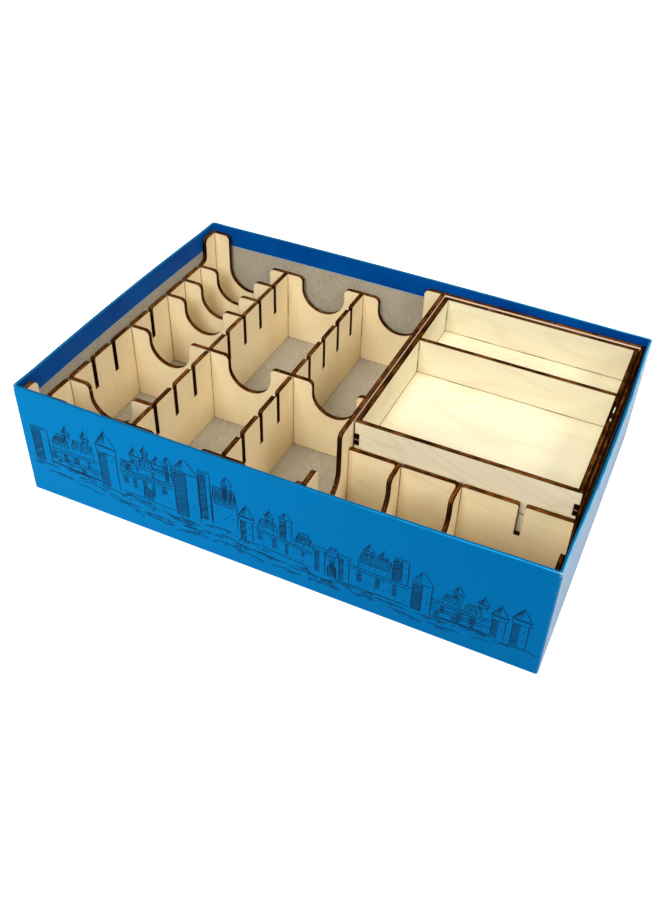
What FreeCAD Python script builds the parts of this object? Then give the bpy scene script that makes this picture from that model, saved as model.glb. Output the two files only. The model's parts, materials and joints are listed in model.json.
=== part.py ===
import FreeCAD, Part
import os

from FreeCAD import Vector

# A laser-cut plywood insert that organises the base of a card game box.
# The model is laid out in box coordinates: x runs right from the outer left wall, y runs back
# from the outer front wall and z runs up from the underside. Every sub-part is then moved so
# that the origin is the centre of the box's underside. All sizes are in millimetres.

# Box base, made of folded greyboard with a printed paper wrap.
BOX_LENGTH = 268.0
BOX_WIDTH = 184.0
BOX_HEIGHT = 65.0
RIM_BOW = 1.3
BASE_BOW = 0.065
CORNER_RADIUS = 1.2
INNER_CORNER_RADIUS = 0.3
CORNER_STRAIGHT = 16.0
PAPER = 0.15
WALL = 1.6
FLOOR_TOP = 1.6
TURN_IN = 12.1
STAY_THICKNESS = 0.12
STAY_REACH = 14.0
STAY_MARGIN = 1.5
BEYOND = 20.0

# Plywood sheets.
PLY = 2.5
FIT_GAP = 0.25
FLOOR_GAP = 0.15
BASE = FLOOR_TOP + FLOOR_GAP
LOW = 47.2
TALL = 61.7
SLOT_BOTTOM = 28.7
SLOT_WIDTH = 2.9
SLOT_LEAD_IN = 1.2
POST_ROUND = 3.5

# Tile lanes. The lane walls repeat at one pitch, and so do the slots along them.
FRAME_LEFT = WALL + FIT_GAP
FRAME_RIGHT = 266.1
FRAME_FRONT = WALL + FIT_GAP
LANE_PITCH = 49.5
LANE_COUNT = 3
SLOT_FIRST = 17.7
SLOT_PITCH = 17.95
SLOT_COUNT = 9
MID_SLOT = 4
REAR_WALL_CENTRE = SLOT_FIRST + SLOT_COUNT * SLOT_PITCH
FRAME_REAR = REAR_WALL_CENTRE + PLY / 2
FRONT_FACE = FRAME_FRONT + PLY
REAR_FACE = FRAME_REAR - PLY
FRONT_POST_END = 12.4
REAR_POST_START = 168.0

# Finger scoops in the cross walls and lane dividers.
SCOOP_WIDTH = 25.0
SCOOP_BOTTOM = 27.7
END_SCOOP_WIDTH = 27.6
END_SCOOP_BOTTOM = 26.3
EAR_ROUND = 3.0
TAB_DEPTH = 1.2

# Front bay and its side scoops.
BAY_SCOOP_FRONT = 16.0
BAY_CROSS_FRONT = 49.1
BAY_SLOTS = (178.5, 208.75, 239.0)
BAY_DIVIDER_SCOOP_FRONT = 13.0

# Trays.
TRAY_LEFT = 153.5
TRAY_RIGHT = 263.2
TRAY_FRONT = 54.0
TRAY_REAR = 177.6
TRAY_DIVIDER_FRONT = 131.0
TRAY_GAP = 0.3
LOWER_TRAY_BOTTOM = BASE + TRAY_GAP
TOP_TRAY_BOTTOM = 37.9
TOP_TRAY_TOP = 61.0
TRAY_FINGER = 7.0

# Tabs that pass through a neighbouring sheet.
TENON_LOW = 18.0
TENON_HIGH = 32.7
FINGER_BANDS = 5
TRAY_TAB = 14.5
TRAY_TAB_PITCH_ACROSS = 31.6
TRAY_TAB_PITCH_ALONG = 43.4
DIVIDER_FOOT_OFFSET = 26.7


def block(x_low, x_high, y_low, y_high, z_low, z_high):
    """Box between two corners."""
    size = (x_high - x_low, y_high - y_low, z_high - z_low)
    return Part.makeBox(*size, Vector(x_low, y_low, z_low))


def export(node, shape):
    """Write one sub-part with the origin at the centre of the box's underside."""
    placed = shape.copy()
    placed.translate(Vector(-BOX_LENGTH / 2, -BOX_WIDTH / 2, 0))
    placed.exportStep("parts/" + node + ".step")


def export_sheet(node, shape):
    """Write one plywood sub-part, with the faces of its fused tabs merged."""
    export(node, shape.removeSplitter())


def rounded_face(corners, place):
    """Flat face through square corners (s, z, radius), each rounded by its radius."""
    rounds = []
    for index, (s, z, radius) in enumerate(corners):
        here = place(s, z)
        before = place(*corners[index - 1][:2])
        after = place(*corners[(index + 1) % len(corners)][:2])
        back = (before - here).normalize()
        ahead = (after - here).normalize()
        middle = here + (back + ahead).normalize() * radius * (2 ** 0.5 - 1)
        rounds.append((here + back * radius, middle, here + ahead * radius, radius))
    edges = []
    for index, (start, middle, end, radius) in enumerate(rounds):
        if radius > 0:
            edges.append(Part.Arc(start, middle, end).toShape())
        following = rounds[(index + 1) % len(rounds)][0]
        if end.distanceToPoint(following) > 1e-6:
            edges.append(Part.LineSegment(end, following).toShape())
    return Part.Face(Part.Wire(edges))


def sheet_across(corners, y_front):
    """Plywood sheet that runs left to right, its outline given in (x, z)."""
    face = rounded_face(corners, lambda s, z: Vector(s, y_front, z))
    return face.extrude(Vector(0, PLY, 0))


def sheet_along(corners, x_left):
    """Plywood sheet that runs front to back, its outline given in (y, z)."""
    face = rounded_face(corners, lambda s, z: Vector(x_left, s, z))
    return face.extrude(Vector(PLY, 0, 0))


def slot(centre):
    """Corners of an open slot with rounded lead-ins."""
    half = SLOT_WIDTH / 2
    return [
        (centre - half, LOW, SLOT_LEAD_IN),
        (centre - half, SLOT_BOTTOM, 0),
        (centre + half, SLOT_BOTTOM, 0),
        (centre + half, LOW, SLOT_LEAD_IN),
    ]


def scoop(low, width=SCOOP_WIDTH, bottom=SCOOP_BOTTOM, top_low=LOW, top_high=LOW):
    """Corners of a U-shaped finger scoop that starts at a given place along the sheet."""
    high = low + width
    return [
        (low, top_low, EAR_ROUND),
        (low, bottom, width / 2),
        (high, bottom, width / 2),
        (high, top_high, EAR_ROUND),
    ]


def lane_wall_x(number):
    """Left face of the wall on the left of a lane; number 3 is the bay wall."""
    return FRAME_LEFT + number * LANE_PITCH


def lane_centre(number):
    """Middle of one lane."""
    return (lane_wall_x(number) + PLY + lane_wall_x(number + 1)) / 2


def lane_scoop(number):
    """Corners of the finger scoop in the middle of one lane."""
    return scoop(lane_centre(number) - SCOOP_WIDTH / 2)


def end_scoop(number, top_low=LOW, top_high=LOW):
    """Corners of the wider scoop at the front or rear end of one lane."""
    low = lane_centre(number) - END_SCOOP_WIDTH / 2
    return scoop(low, END_SCOOP_WIDTH, END_SCOOP_BOTTOM, top_low, top_high)


def bands(low, high, count, first):
    """Every second one of count equal height bands, starting with band number first."""
    height = (high - low) / count
    return [(low + i * height, low + (i + 1) * height) for i in range(first, count, 2)]


def cut_corner(shape, x_left, y_front, heights):
    """Take finger-joint notches out of a sheet's corner."""
    for low, high in heights:
        shape = shape.cut(block(x_left, x_left + PLY, y_front, y_front + PLY, low, high))
    return shape


def corner_fingers(high, first):
    """Finger bands of the frame's corners up to a given height."""
    return bands(BASE, high, FINGER_BANDS, first)


# Box base ---------------------------------------------------------------------------------

def box_outline(inset, height, bow):
    """Outline of the box at one height: straight by the corners, bowed outward between them."""
    radius = max(CORNER_RADIUS - inset, INNER_CORNER_RADIUS)
    lean = radius * (1 - 0.5 ** 0.5)
    half_x = BOX_LENGTH / 2 - inset
    half_y = BOX_WIDTH / 2 - inset
    edges = []
    for turn, (reach, depth) in enumerate([(half_x, half_y), (half_y, half_x)] * 2):
        stiff = reach + inset - CORNER_STRAIGHT
        side = [
            Vector(-reach + radius, -depth, height),
            Vector(-stiff, -depth, height),
            Vector(0, -depth - bow, height),
            Vector(stiff, -depth, height),
            Vector(reach - radius, -depth, height),
            Vector(reach - lean, -depth + lean, height),
            Vector(reach, -depth + radius, height),
        ]
        spin = FreeCAD.Rotation(Vector(0, 0, 1), 90 * turn)
        start, bend, middle, unbend, end, corner, following = [spin.multVec(v) for v in side]
        edges.append(Part.LineSegment(start, bend).toShape())
        edges.append(Part.Arc(bend, middle, unbend).toShape())
        edges.append(Part.LineSegment(unbend, end).toShape())
        edges.append(Part.Arc(end, corner, following).toShape())
    outline = Part.Wire(edges)
    outline.translate(Vector(BOX_LENGTH / 2, BOX_WIDTH / 2, 0))
    return outline


def bowl(inset):
    """Solid inside the box outline, nearly straight at the base and bowed at the rim."""
    base = box_outline(inset, 0, BASE_BOW)
    rim = box_outline(inset, BOX_HEIGHT, RIM_BOW)
    return Part.makeLoft([base, rim], True, True)


def slab(z_low, z_high):
    """Everything between two heights."""
    return block(-BEYOND, BOX_LENGTH + BEYOND, -BEYOND, BOX_WIDTH + BEYOND, z_low, z_high)


def ring(outer, inner, z_low, z_high):
    """Upright band of the box wall between two insets and two heights."""
    return bowl(outer).cut(bowl(inner)).common(slab(z_low, z_high))


def corner_stays():
    """Paper tapes glued round the four outer corners under the wrap."""
    band = ring(PAPER, PAPER + STAY_THICKNESS, STAY_MARGIN, BOX_HEIGHT - STAY_MARGIN)
    stays = []
    for x_low in (0, BOX_LENGTH - STAY_REACH):
        for y_low in (0, BOX_WIDTH - STAY_REACH):
            corner = block(x_low, x_low + STAY_REACH, y_low, y_low + STAY_REACH, 0, BOX_HEIGHT)
            stays.append(band.common(corner).Solids[0])
    return Part.makeCompound(stays)


def box_greyboard(stays):
    """Folded greyboard tray: four walls and a floor."""
    walls = ring(PAPER, WALL - PAPER, PAPER, BOX_HEIGHT - PAPER)
    floor = bowl(PAPER).common(slab(PAPER, FLOOR_TOP))
    return walls.fuse(floor).cut(stays)


def box_wrap():
    """Paper round the outside, over the rim and a little way down inside."""
    whole = ring(0, WALL, PAPER, BOX_HEIGHT)
    board = ring(PAPER, WALL - PAPER, 0, BOX_HEIGHT - PAPER)
    bare = ring(PAPER, WALL, 0, BOX_HEIGHT - TURN_IN)
    return whole.cut(board).cut(bare)


def box_underside_sheet():
    """Flat sheet of paper over the underside of the floor."""
    return bowl(0).common(slab(0, PAPER))


def make_box():
    stays = corner_stays()
    export("box_corner_stays", stays)
    export("box_greyboard", box_greyboard(stays))
    export("box_wrap", box_wrap())
    export("box_underside_sheet", box_underside_sheet())


# Frame ------------------------------------------------------------------------------------

def left_wall():
    """Outer wall of the first lane, with a tall post at each end and slots between them."""
    corners = [(FRAME_FRONT, BASE, 0), (FRAME_FRONT, TALL, 0)]
    corners += [(FRONT_POST_END, TALL, POST_ROUND), (FRONT_POST_END, LOW, 0)]
    for number in range(SLOT_COUNT):
        corners += slot(SLOT_FIRST + number * SLOT_PITCH)
    corners += [(REAR_POST_START, LOW, POST_ROUND), (REAR_POST_START, TALL, POST_ROUND)]
    corners += [(FRAME_REAR, TALL, 0), (FRAME_REAR, BASE, 0)]
    wall = sheet_along(corners, FRAME_LEFT)
    for y_front in (FRAME_FRONT, REAR_FACE):
        wall = cut_corner(wall, FRAME_LEFT, y_front, corner_fingers(TALL, 1))
    return wall


def tenon_along(x_left, y_low, y_high):
    """Tab at the end of a front-to-back sheet."""
    return block(x_left, x_left + PLY, y_low, y_high, TENON_LOW, TENON_HIGH)


def end_tenons(wall, x_left):
    """Add the tabs that pass through the front and rear walls."""
    front = tenon_along(x_left, FRAME_FRONT, FRONT_FACE)
    rear = tenon_along(x_left, REAR_FACE, FRAME_REAR)
    return wall.fuse([front, rear])


def lane_wall(number):
    """Low wall between two lanes, slotted from the top."""
    corners = [(FRONT_FACE, BASE, 0), (FRONT_FACE, LOW, 0)]
    for place in range(SLOT_COUNT):
        corners += slot(SLOT_FIRST + place * SLOT_PITCH)
    corners += [(REAR_FACE, LOW, 0), (REAR_FACE, BASE, 0)]
    x_left = lane_wall_x(number)
    return end_tenons(sheet_along(corners, x_left), x_left)


def bay_side_profile(y_front, y_rear):
    """Outline of the tall walls beside the bay, scooped near the front."""
    corners = [(y_front, BASE, 0), (y_front, TALL, 0)]
    corners += scoop(BAY_SCOOP_FRONT, top_low=TALL, top_high=TALL)
    return corners + [(y_rear, TALL, 0), (y_rear, BASE, 0)]


def bay_cross_tenons():
    """Tabs of the bay's cross wall, through the bay wall and the right wall."""
    y_rear = BAY_CROSS_FRONT + PLY
    bay_x = lane_wall_x(LANE_COUNT)
    left = block(bay_x, bay_x + PLY, BAY_CROSS_FRONT, y_rear, TENON_LOW, TENON_HIGH)
    right = block(FRAME_RIGHT - PLY, FRAME_RIGHT, BAY_CROSS_FRONT, y_rear, TENON_LOW, TENON_HIGH)
    return [left, right]


def cross_tenon(y_front):
    """Tab of a lane cross wall, through the bay wall."""
    bay_x = lane_wall_x(LANE_COUNT)
    return block(bay_x, bay_x + PLY, y_front, y_front + PLY, TENON_LOW, TENON_HIGH)


def cross_wall_fronts():
    """Front faces of the two cross walls of the lanes."""
    return [SLOT_FIRST + place * SLOT_PITCH - PLY / 2 for place in (0, MID_SLOT)]


def bay_wall():
    """Tall wall between the last lane and the bay."""
    x_left = lane_wall_x(LANE_COUNT)
    wall = sheet_along(bay_side_profile(FRONT_FACE, REAR_FACE), x_left)
    wall = end_tenons(wall, x_left)
    mortises = [cross_tenon(y_front) for y_front in cross_wall_fronts()]
    return wall.cut(mortises + bay_cross_tenons())


def right_wall():
    """Tall outer wall of the bay."""
    x_left = FRAME_RIGHT - PLY
    wall = sheet_along(bay_side_profile(FRAME_FRONT, FRAME_REAR), x_left)
    wall = cut_corner(wall, x_left, REAR_FACE, corner_fingers(TALL, 1))
    wall = cut_corner(wall, x_left, FRAME_FRONT, corner_fingers(LOW, 1))
    return wall.cut(bay_cross_tenons())


def cut_mortises(wall, y_low, y_high):
    """Take out the openings for the tabs of the lane walls and the bay wall."""
    for number in range(1, LANE_COUNT + 1):
        wall = wall.cut(tenon_along(lane_wall_x(number), y_low, y_high))
    return wall


def rear_wall():
    """Back wall: scooped behind each lane and tall behind the trays."""
    corners = [(FRAME_LEFT, BASE, 0), (FRAME_LEFT, TALL, 0)]
    corners += end_scoop(0, top_low=TALL) + end_scoop(1) + end_scoop(2, top_high=TALL)
    corners += [(FRAME_RIGHT, TALL, 0), (FRAME_RIGHT, BASE, 0)]
    wall = cut_mortises(sheet_across(corners, REAR_FACE), REAR_FACE, FRAME_REAR)
    for x_left in (FRAME_LEFT, FRAME_RIGHT - PLY):
        wall = cut_corner(wall, x_left, REAR_FACE, corner_fingers(TALL, 0))
    return wall


def front_wall():
    """Front wall: scooped at each lane and slotted for the bay dividers."""
    corners = [(FRAME_LEFT, BASE, 0), (FRAME_LEFT, TALL, 0)]
    corners += end_scoop(0, top_low=TALL) + end_scoop(1) + end_scoop(2)
    for centre in BAY_SLOTS:
        corners += slot(centre)
    corners += [(FRAME_RIGHT, LOW, 0), (FRAME_RIGHT, BASE, 0)]
    wall = cut_mortises(sheet_across(corners, FRAME_FRONT), FRAME_FRONT, FRONT_FACE)
    wall = cut_corner(wall, FRAME_LEFT, FRAME_FRONT, corner_fingers(TALL, 0))
    return cut_corner(wall, FRAME_RIGHT - PLY, FRAME_FRONT, corner_fingers(LOW, 0))


def scooped_cross_wall(y_front):
    """Cross wall over all three lanes, slotted from below where it crosses the lane walls."""
    x_low = FRAME_LEFT + PLY
    x_high = lane_wall_x(LANE_COUNT)
    corners = [(x_low, BASE, 0), (x_low, SLOT_BOTTOM, 0)]
    corners += [(x_low - TAB_DEPTH, SLOT_BOTTOM, 0), (x_low - TAB_DEPTH, LOW, 0)]
    for number in range(LANE_COUNT):
        corners += lane_scoop(number)
    corners += [(x_high, LOW, 0), (x_high, BASE, 0)]
    for number in range(LANE_COUNT - 1, 0, -1):
        x_left = lane_wall_x(number)
        corners += [(x_left + PLY, BASE, 0), (x_left + PLY, SLOT_BOTTOM, 0)]
        corners += [(x_left, SLOT_BOTTOM, 0), (x_left, BASE, 0)]
    return sheet_across(corners, y_front).fuse(cross_tenon(y_front))


def bay_cross_wall():
    """Low wall between the front bay and the trays, slotted for the bay dividers."""
    x_low = lane_wall_x(LANE_COUNT) + PLY
    x_high = FRAME_RIGHT - PLY
    corners = [(x_low, BASE, 0), (x_low, LOW, 0)]
    for centre in BAY_SLOTS:
        corners += slot(centre)
    corners += [(x_high, LOW, 0), (x_high, BASE, 0)]
    return sheet_across(corners, BAY_CROSS_FRONT).fuse(bay_cross_tenons())


def make_frame():
    export_sheet("left_wall", left_wall())
    for number in range(1, LANE_COUNT):
        export_sheet("lane_wall_" + str(number), lane_wall(number))
    export_sheet("bay_wall", bay_wall())
    export_sheet("right_wall", right_wall())
    export_sheet("rear_wall", rear_wall())
    export_sheet("front_wall", front_wall())
    for name, y_front in zip(("front_cross_wall", "mid_cross_wall"), cross_wall_fronts()):
        export_sheet(name, scooped_cross_wall(y_front))
    export_sheet("bay_cross_wall", bay_cross_wall())


# Removable dividers -----------------------------------------------------------------------

def lane_divider(place):
    """Scooped divider that hangs by its end tabs in the slots beside the first lane."""
    x_low = FRAME_LEFT + PLY + FIT_GAP
    x_high = lane_wall_x(1) - FIT_GAP
    bottom = BASE + FIT_GAP
    tab_bottom = SLOT_BOTTOM + FIT_GAP
    corners = [(x_low, bottom, 0), (x_low, tab_bottom, 0)]
    corners += [(x_low - TAB_DEPTH - FIT_GAP, tab_bottom, 0), (x_low - TAB_DEPTH - FIT_GAP, LOW, 0)]
    corners += lane_scoop(0)
    corners += [(x_high + TAB_DEPTH + FIT_GAP, LOW, 0), (x_high + TAB_DEPTH + FIT_GAP, tab_bottom, 0)]
    corners += [(x_high, tab_bottom, 0), (x_high, bottom, 0)]
    return sheet_across(corners, SLOT_FIRST + place * SLOT_PITCH - PLY / 2)


def bay_divider(centre):
    """Scooped divider between the front wall and the bay's cross wall."""
    y_low = FRONT_FACE + FIT_GAP
    y_high = BAY_CROSS_FRONT - FIT_GAP
    bottom = BASE + FIT_GAP
    tab_bottom = SLOT_BOTTOM + FIT_GAP
    corners = [(y_low, bottom, 0), (y_low, tab_bottom, 0)]
    corners += [(FRAME_FRONT + FIT_GAP, tab_bottom, 0), (FRAME_FRONT + FIT_GAP, LOW, 0)]
    corners += scoop(BAY_DIVIDER_SCOOP_FRONT)
    tab_end = BAY_CROSS_FRONT + PLY - FIT_GAP
    corners += [(tab_end, LOW, 0), (tab_end, tab_bottom, 0)]
    corners += [(y_high, tab_bottom, 0), (y_high, bottom, 0)]
    return sheet_along(corners, centre - PLY / 2)


def make_dividers():
    for number, place in enumerate((1, 6, 7, 8), start=1):
        export_sheet("lane_divider_" + str(number), lane_divider(place))
    for number, centre in enumerate(BAY_SLOTS[:2], start=1):
        export_sheet("bay_divider_" + str(number), bay_divider(centre))


# Trays ------------------------------------------------------------------------------------

def tray_centre():
    """Middle of a tray, seen from above."""
    return (TRAY_LEFT + TRAY_RIGHT) / 2, (TRAY_FRONT + TRAY_REAR) / 2


def floor_tabs(z_low):
    """Tabs of a tray floor, two through the front wall and three through each of the others."""
    x_mid, y_mid = tray_centre()
    half = TRAY_TAB / 2
    z_high = z_low + PLY
    tabs = []
    for step in (-1, 0, 1):
        x = x_mid + step * TRAY_TAB_PITCH_ACROSS
        y = y_mid + step * TRAY_TAB_PITCH_ALONG
        tabs.append(block(x - half, x + half, TRAY_REAR - PLY, TRAY_REAR, z_low, z_high))
        for x_left in (TRAY_LEFT, TRAY_RIGHT - PLY):
            tabs.append(block(x_left, x_left + PLY, y - half, y + half, z_low, z_high))
    for step in (-0.5, 0.5):
        x = x_mid + step * TRAY_TAB_PITCH_ACROSS
        tabs.append(block(x - half, x + half, TRAY_FRONT, TRAY_FRONT + PLY, z_low, z_high))
    return tabs


def divider_feet(z_low):
    """Two tabs of a tray's cross divider, down through the floor."""
    half = TRAY_TAB / 2
    y_front = TRAY_DIVIDER_FRONT
    feet = []
    for side in (-1, 1):
        x = tray_centre()[0] + side * DIVIDER_FOOT_OFFSET
        feet.append(block(x - half, x + half, y_front, y_front + PLY, z_low, z_low + PLY))
    return feet


def tray_floor(z_low):
    """Floor panel inside the four walls."""
    panel = block(TRAY_LEFT + PLY, TRAY_RIGHT - PLY, TRAY_FRONT + PLY, TRAY_REAR - PLY,
                  z_low, z_low + PLY)
    return panel.fuse(floor_tabs(z_low)).cut(divider_feet(z_low))


def tray_finger(z_high):
    """Heights of the one finger at each tray corner, set down from the rim."""
    return (z_high - 2 * TRAY_FINGER, z_high - TRAY_FINGER)


def tray_divider_tabs(z_high):
    """End tabs of the tray's cross divider, through the side walls."""
    low, high = tray_finger(z_high)
    y_front = TRAY_DIVIDER_FRONT
    return [
        block(x_left, x_left + PLY, y_front, y_front + PLY, low, high)
        for x_left in (TRAY_LEFT, TRAY_RIGHT - PLY)
    ]


def tray_divider(z_low, z_high):
    """Upright panel that splits the tray into a large and a narrow compartment."""
    panel = block(TRAY_LEFT + PLY, TRAY_RIGHT - PLY, TRAY_DIVIDER_FRONT, TRAY_DIVIDER_FRONT + PLY,
                  z_low + PLY, z_high)
    return panel.fuse(tray_divider_tabs(z_high) + divider_feet(z_low))


def tray_end_wall(y_front, z_low, z_high):
    """Front or rear wall, notched in the middle of its ends for the side walls."""
    wall = block(TRAY_LEFT, TRAY_RIGHT, y_front, y_front + PLY, z_low, z_high)
    for x_left in (TRAY_LEFT, TRAY_RIGHT - PLY):
        wall = cut_corner(wall, x_left, y_front, [tray_finger(z_high)])
    return wall.cut(floor_tabs(z_low))


def tray_side_wall(x_left, z_low, z_high):
    """Left or right wall, with one finger through the front and rear walls."""
    wall = block(x_left, x_left + PLY, TRAY_FRONT, TRAY_REAR, z_low, z_high)
    finger_low, finger_high = tray_finger(z_high)
    for y_front in (TRAY_FRONT, TRAY_REAR - PLY):
        notches = [(z_low, finger_low), (finger_high, z_high)]
        wall = cut_corner(wall, x_left, y_front, notches)
    return wall.cut(floor_tabs(z_low) + tray_divider_tabs(z_high))


def make_tray(name, z_low, z_high):
    export_sheet(name + "_floor", tray_floor(z_low))
    export_sheet(name + "_divider", tray_divider(z_low, z_high))
    export_sheet(name + "_front", tray_end_wall(TRAY_FRONT, z_low, z_high))
    export_sheet(name + "_rear", tray_end_wall(TRAY_REAR - PLY, z_low, z_high))
    export_sheet(name + "_left", tray_side_wall(TRAY_LEFT, z_low, z_high))
    export_sheet(name + "_right", tray_side_wall(TRAY_RIGHT - PLY, z_low, z_high))


os.makedirs("parts", exist_ok=True)
make_box()
make_frame()
make_dividers()
make_tray("lower_tray", LOWER_TRAY_BOTTOM, TOP_TRAY_BOTTOM - TRAY_GAP)
make_tray("top_tray", TOP_TRAY_BOTTOM, TOP_TRAY_TOP)
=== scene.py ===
import json
import math
import random

import bpy
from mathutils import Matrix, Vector
from mathutils.bvhtree import BVHTree

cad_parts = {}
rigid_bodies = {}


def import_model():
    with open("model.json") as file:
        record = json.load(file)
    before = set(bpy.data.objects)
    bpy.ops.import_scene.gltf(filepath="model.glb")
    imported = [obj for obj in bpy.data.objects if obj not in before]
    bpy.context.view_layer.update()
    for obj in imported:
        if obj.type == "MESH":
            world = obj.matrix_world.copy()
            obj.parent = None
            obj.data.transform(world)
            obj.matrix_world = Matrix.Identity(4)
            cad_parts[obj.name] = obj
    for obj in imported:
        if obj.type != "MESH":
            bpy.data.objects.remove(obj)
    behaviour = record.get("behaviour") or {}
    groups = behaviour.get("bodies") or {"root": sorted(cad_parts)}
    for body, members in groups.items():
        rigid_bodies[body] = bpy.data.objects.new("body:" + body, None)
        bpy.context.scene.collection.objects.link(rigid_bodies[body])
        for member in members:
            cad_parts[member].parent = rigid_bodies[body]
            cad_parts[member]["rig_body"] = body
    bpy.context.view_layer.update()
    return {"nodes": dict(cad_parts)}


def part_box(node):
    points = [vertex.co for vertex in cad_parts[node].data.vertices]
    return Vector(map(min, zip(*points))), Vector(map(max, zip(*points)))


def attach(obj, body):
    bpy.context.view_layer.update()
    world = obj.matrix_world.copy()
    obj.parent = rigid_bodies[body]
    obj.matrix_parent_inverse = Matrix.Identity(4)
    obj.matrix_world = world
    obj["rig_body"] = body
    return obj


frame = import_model()

# A card game box base with a laser-cut birch plywood insert, on a white table.
# Positions are in metres. Material scales and the drawing on the box are in millimetres.
MM = 0.001

# Camera, at the height and distance of a tabletop product shot. Its lens and sensor are in millimetres.
CAMERA_PLACE = (0.153914, -0.363295, 0.350375)
CAMERA_TURN = (49.9234, -2.8829, 23.5605)
CAMERA_LENS = 38.793
CAMERA_SENSOR = 36.0
CAMERA_SHIFT = (-0.04625, -0.01936)

# Table, sky and soft lights. Each light is its name, place, target, size, power and colour.
WHITE = (1.0, 1.0, 1.0)
COOL_WHITE = (0.96, 1.0, 1.06)
SKY_STRENGTH = 0.44
TABLE_SIZE = 9.0
TABLE_DROP = 0.0002
TABLE_GLOW = 0.35
TABLE_COLOUR = (0.93, 0.93, 0.93)
LIGHTS = (
    ("overhead", (0.05, 0.1, 1.6), (0.0, 0.0, 0.0), 0.9, 8.0, WHITE),
    ("front", (-0.08, -1.8, 1.6), (0.0, 0.0, 0.03), 1.1, 40.0, COOL_WHITE),
    ("right", (1.7, -0.45, 1.5), (0.0, 0.0, 0.03), 0.8, 22.0, WHITE),
)

# Colours of the plywood, linear RGB.
BIRCH = (0.86, 0.71, 0.43)
BIRCH_TRAY = (0.765, 0.700, 0.495)
BIRCH_SLANT = (0.84, 0.75, 0.53)
BIRCH_DARK = (0.62, 0.41, 0.19)
CHAR = (0.009, 0.0012, 0.0001)
CHAR_BROWN = (0.24, 0.068, 0.005)
CHAR_RIM = (0.042, 0.010, 0.0008)
CHAR_LINE = (0.085, 0.042, 0.012)
GLUE_LINE = (0.36, 0.17, 0.075)
SMOKE = (0.55, 0.32, 0.13)
BARE_WOOD = (0.62, 0.46, 0.28)
CHIP_WOOD = (0.72, 0.58, 0.42)
STRIP_PINK_AND_LIGHT = (0.98, 0.70, 0.54)
FINGER_ASH = (0.26, 0.21, 0.22)
SOOT_BLACK = (0.03, 0.016, 0.007)

# Colours of the box.
PAPER_BLUE = (0.0, 0.145, 0.350)
# The next two are the dark ends of painted shade towards the right, and also the colour of fibres.
PAPER_BLUE_SHADE_AND_FIBRE = (0.0, 0.092, 0.240)
PAPER_SIDE_SHADE_AND_FIBRE = (0.0, 0.100, 0.222)
PAPER_RIM = (0.0, 0.095, 0.215)
# Painted highlights of the glossy paper: down the upright corners, and along the rim's outer edge.
PAPER_HIGHLIGHT = (0.14, 0.42, 0.62)
PAPER_HIGHLIGHT_FRONT = (0.012, 0.36, 0.74)
GLOSS_TINT = (0.0, 0.30, 0.85)
TURN_IN_BLUE = (0.0, 0.075, 0.31)
TURN_IN_DEEP = (0.0, 0.045, 0.235)
PAPER_CORE = (0.62, 0.76, 0.86)
INK = (0.0, 0.020, 0.052)
INK_THIN = (0.0, 0.030, 0.080)
BOARD = (0.365, 0.315, 0.225)
BOARD_LIGHT = (0.57, 0.505, 0.385)
BOARD_DARK = (0.17, 0.14, 0.10)
KRAFT = (0.45, 0.30, 0.17)
KRAFT_DARK = (0.36, 0.23, 0.12)

# The box. Its walls bow outwards, but run straight near the corners. Lengths in millimetres.
WRAP_HIGH = [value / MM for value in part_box("box_wrap")[1]]
SQUARE_HIGH = [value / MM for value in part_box("box_corner_stays")[1]]
CORNER_STRAIGHT = 16.0
# Painted highlights: where the rim's band starts and is full inside the outer face, the same for the
# bands down the corners, and the corners' share.
RIM_HIGHLIGHT = (0.75, 0.25)
CORNER_HIGHLIGHT = (1.7, 0.9)
CORNER_HIGHLIGHT_SHARE = 0.7
WORN_REACH = (3.4, 1.4)
WORN_DEPTH = 2.4
FLAP_DEPTH = 12.1
FRONT_GLOSS = 0.008
SIDE_GLOSS = 0.12

# Grain of the veneer: noise frequencies per millimetre along the grain, across it and through the sheet.
# Each sheet's grain is moved by its number times the step, so that no two sheets look alike.
GRAIN_STEP = (37.3, 71.9, 13.7)
STREAK_GRAIN = (0.012, 0.9, 0.1)
FLECK_GRAIN = (0.35, 4.5, 0.1)
CLOUD_GRAIN = (0.012, 0.03, 0.03)
FLECK_STRENGTH = 0.16
CLOUD_STRENGTH = 0.16

# Pores, in about three cells of ten: cells per millimetre, and the largest radius as a share of a cell.
PORE_CELLS = 0.11
PORE_CHOSEN = 0.70
PORE_RADIUS = 0.035
PORE_STRENGTH = 0.45

# The laser's marks on a veneer, in millimetres. Two walls have a clean strip above the trays, tinted pink
# and painted lighter.
RIM_WIDTH = 0.45
RIM_STRENGTH = 0.92
SMOKE_WIDTH = 1.7
SMOKE_STRENGTH = 0.34
HAIRLINE_WIDTH = 0.9
HAIRLINE_STRENGTH = 0.75
CLEAN_FACES = ("bay_wall", "rear_wall")
STRIP_SHARE = 0.6

# Knots, in millimetres on the sheet.
KNOTS = {"top_tray_floor": (74.0, 71.5, 0.0)}
KNOT_SCALE = (1 / 20, 1 / 6, 0.0)
KNOT_RINGS = 9.0
KNOT_RING_STRENGTH = 0.22
KNOT_EYE_STRENGTH = 0.75

# Grain of the cut edges, and their plies as distances from the sheet's middle in shares of its thickness.
EDGE_STEP = (19.1, 53.3, 7.7)
FIBRE_GRAIN = (0.20, 0.20, 2.0)
PATCH_GRAIN = (0.05, 0.05, 0.3)
RIPPLE_GRAIN = (0.15, 1.5, 0.12)
FACE_PLY = 0.41
CORE_PLY = 0.24
GLUE_HALF = 0.05
GLUE_STRENGTH = 0.55
CHIP_STRENGTH = 0.45

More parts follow.
